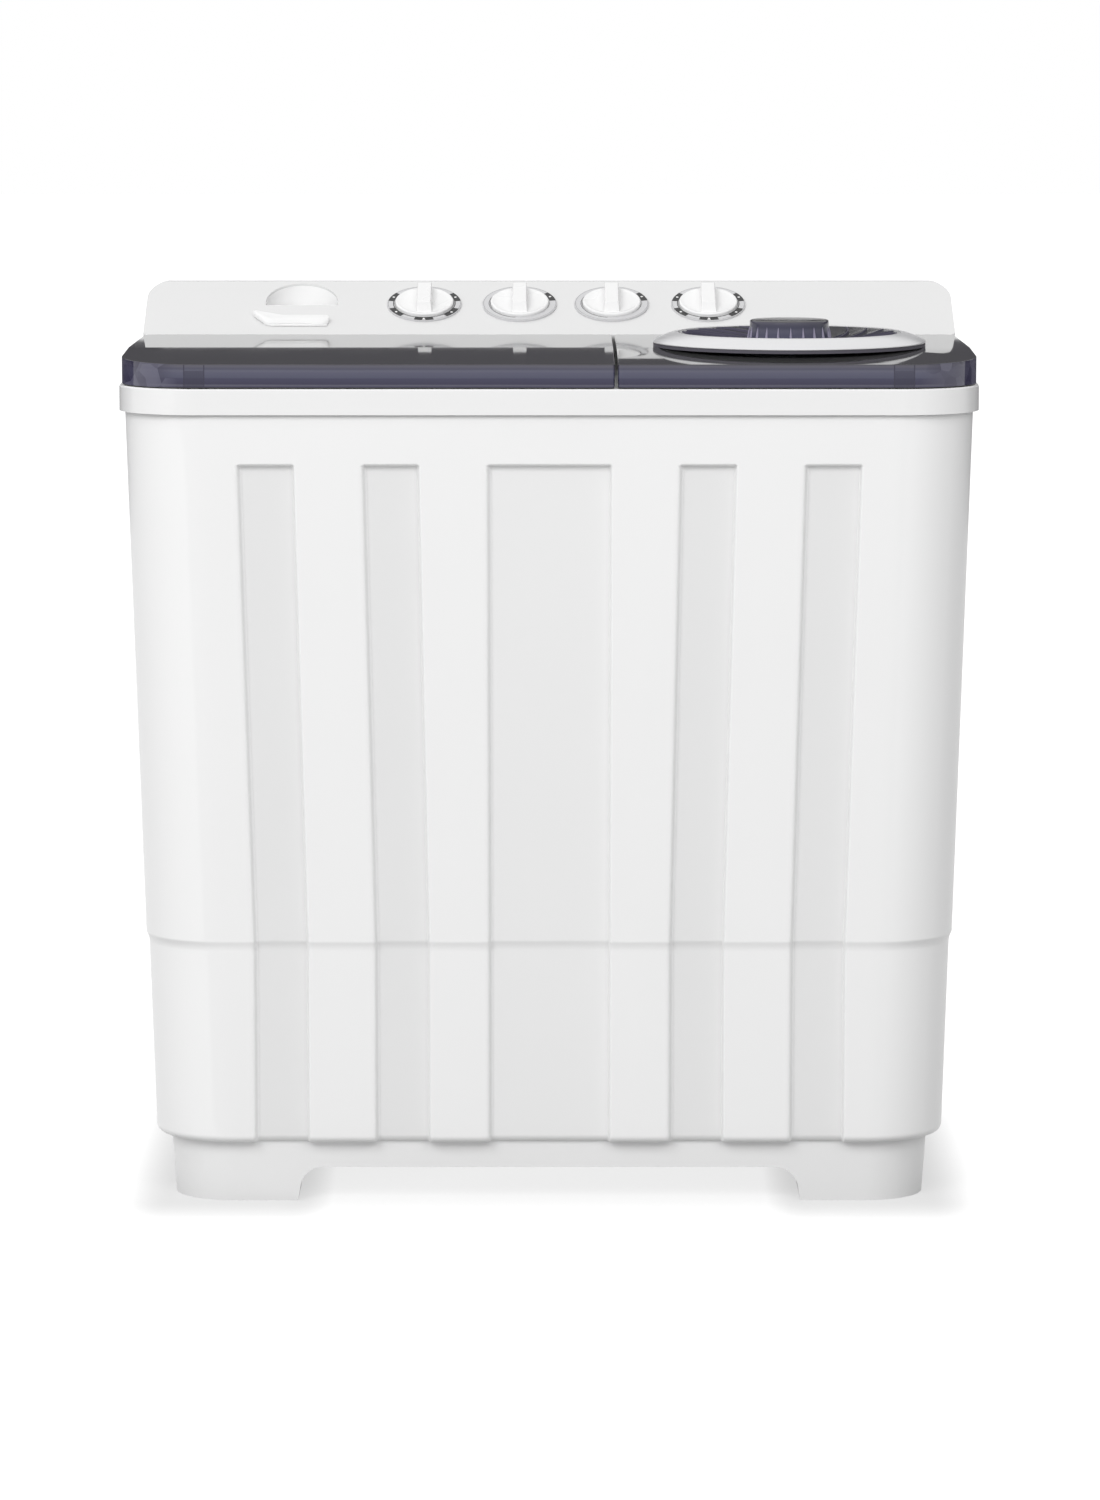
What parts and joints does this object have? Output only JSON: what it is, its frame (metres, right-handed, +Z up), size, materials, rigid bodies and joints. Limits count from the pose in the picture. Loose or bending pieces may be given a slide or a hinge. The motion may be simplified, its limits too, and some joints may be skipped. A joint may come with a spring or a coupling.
{
  "type": "twin tub washer",
  "caption": "Free-standing twin tub washer: a pulsator wash tub with a smoked lid beside a spin dryer with a vented lid, a sloping dial panel and a grooved white cabinet on a footed base.",
  "frame": {"origin": "centre of the footprint, on the floor", "axes": "+X to the right (spin side) seen from the front, +Y to the back (panel side), +Z up"},
  "size_m": [0.996, 0.58, 1.047],
  "materials": {
    "cabinet_white": "satin moulded white",
    "frame_white": "gloss moulded white",
    "panel_white": "gloss moulded white",
    "base_white": "satin moulded white",
    "tub_white": "satin moulded white",
    "smoked_lid": "smoked violet-grey, high gloss",
    "vent_dark": "dark violet-grey",
    "vent_silver": "silver paint",
    "knob_white": "gloss",
    "dial_grey": "silver grey",
    "control_body": "moulded",
    "steel": "bright",
    "zinc_steel": "zinc plated",
    "motor_paint": "dark enamel",
    "cast_alloy": "as cast",
    "bronze": "sintered",
    "rubber_black": "matte",
    "drain_grey": "moulded",
    "filter_blue": "moulded"
  },
  "bodies": {
    "washer_body": {"base_frame": "base_white", "cabinet": "cabinet_white", "cabinet_screws": "zinc_steel", "rear_cover": "cabinet_white", "rear_cover_screws": "zinc_steel", "top_frame": "frame_white", "top_frame_screws": "zinc_steel", "control_panel": "panel_white", "dial_rings": "dial_grey", "inlet_box": "frame_white", "spin_fill_duct": "frame_white", "timers": "control_body", "selector_switches": "control_body", "wash_tub": "tub_white", "lint_filter": "filter_blue", "drain_guard": "filter_blue", "bearing_housing": "cast_alloy", "shaft_bushes": "bronze", "shaft_seal": "rubber_black", "drive_belt": "rubber_black", "wash_motor_housing": "motor_paint", "wash_motor_stand": "zinc_steel", "drive_screws": "zinc_steel", "spin_outer_tub": "tub_white", "spin_seal_bellows": "rubber_black", "spin_motor_housing": "motor_paint", "spin_motor_plate": "zinc_steel", "mount_springs": "steel", "drain_valve_body": "drain_grey", "drain_hose": "drain_grey", "spin_drain_hose": "drain_grey"},
    "wash_lid": {"wash_lid": "smoked_lid", "wash_lid_hinge_pins": "steel"},
    "spin_lid": {"spin_lid": "smoked_lid", "spin_lid_hinge_pins": "steel", "vent_bezel": "vent_silver", "vent_dish": "vent_dark"},
    "vent_turner": {"vent_knob": "vent_dark", "vent_shutter": "vent_dark"},
    "wash_timer_dial": {"wash_timer_knob": "knob_white", "wash_timer_shaft": "steel"},
    "wash_selector_dial": {"wash_selector_knob": "knob_white", "wash_selector_shaft": "steel"},
    "drain_selector_dial": {"drain_selector_knob": "knob_white", "drain_selector_shaft": "steel"},
    "spin_timer_dial": {"spin_timer_knob": "knob_white", "spin_timer_shaft": "steel"},
    "water_lever": {"inlet_lever": "knob_white"},
    "pulsator_drive": {"pulsator": "tub_white", "pulsator_screw": "steel", "pulsator_shaft": "steel", "large_pulley": "cast_alloy"},
    "wash_motor_drive": {"wash_motor_rotor": "steel", "motor_pulley": "cast_alloy"},
    "spin_drive": {"spin_basket": "tub_white", "spin_shaft": "steel", "brake_drum": "cast_alloy", "spin_motor_rotor": "steel"},
    "brake_lever": {"brake_arm": "zinc_steel"},
    "drain_stopper": {"drain_plunger": "rubber_black"}
  },
  "joints": [
    {"name": "wash_lid_hinge", "type": "hinge", "parent": "washer_body", "child": "wash_lid", "pos_m": [-0.2025, 0.1355, 0.9805], "axis": [-1, 0, 0], "range_deg": [0, 95]},
    {"name": "spin_lid_hinge", "type": "hinge", "parent": "washer_body", "child": "spin_lid", "pos_m": [0.283, 0.1355, 0.9805], "axis": [-1, 0, 0], "range_deg": [0, 95]},
    {"name": "vent_turn", "type": "hinge", "parent": "spin_lid", "child": "vent_turner", "pos_m": [0.283, -0.066, 0.989], "axis": [0, 0, 1], "range_deg": [0, 7.5]},
    {"name": "wash_timer_turn", "type": "hinge", "parent": "washer_body", "child": "wash_timer_dial", "pos_m": [-0.1528, 0.21732, 1.02037], "axis": [0, 0.4074, -0.9132], "range_deg": [0, 300]},
    {"name": "wash_selector_turn", "type": "hinge", "parent": "washer_body", "child": "wash_selector_dial", "pos_m": [-0.0361, 0.21732, 1.02037], "axis": [0, 0.4074, -0.9132], "range_deg": [0, 90]},
    {"name": "drain_selector_turn", "type": "hinge", "parent": "washer_body", "child": "drain_selector_dial", "pos_m": [0.0764, 0.21732, 1.02037], "axis": [0, 0.4074, -0.9132], "range_deg": [0, 90]},
    {"name": "spin_timer_turn", "type": "hinge", "parent": "washer_body", "child": "spin_timer_dial", "pos_m": [0.1947, 0.21732, 1.02037], "axis": [0, 0.4074, -0.9132], "range_deg": [0, 300]},
    {"name": "water_lever_slide", "type": "slide", "parent": "washer_body", "child": "water_lever", "axis": [1, 0, 0], "range_m": [0, 0.022]},
    {"name": "pulsator_spin", "type": "hinge", "parent": "washer_body", "child": "pulsator_drive", "pos_m": [-0.2025, -0.072, 0.3555], "axis": [0, 0, 1], "continuous": true},
    {"name": "wash_motor_spin", "type": "hinge", "parent": "washer_body", "child": "wash_motor_drive", "pos_m": [-0.0275, -0.072, 0.205], "axis": [0, 0, 1], "continuous": true},
    {"name": "spin_basket_spin", "type": "hinge", "parent": "washer_body", "child": "spin_drive", "pos_m": [0.283, -0.066, 0.4465], "axis": [0, 0, 1], "continuous": true},
    {"name": "brake_swing", "type": "hinge", "parent": "washer_body", "child": "brake_lever", "pos_m": [0.363, -0.128, 0.3025], "axis": [0, 0, 1], "range_deg": [0, 2]},
    {"name": "drain_stopper_lift", "type": "slide", "parent": "washer_body", "child": "drain_stopper", "axis": [0, 0, 1], "range_m": [0, 0.012]}
  ],
  "couplings": [
    {"joint": "wash_motor_spin", "follows": "pulsator_spin", "ratio": 3.8261},
    {"joint": "brake_swing", "follows": "spin_lid_hinge", "ratio": 0.02105},
    {"joint": "drain_stopper_lift", "follows": "drain_selector_turn", "m_per_rad": 0.00763}
  ]
}
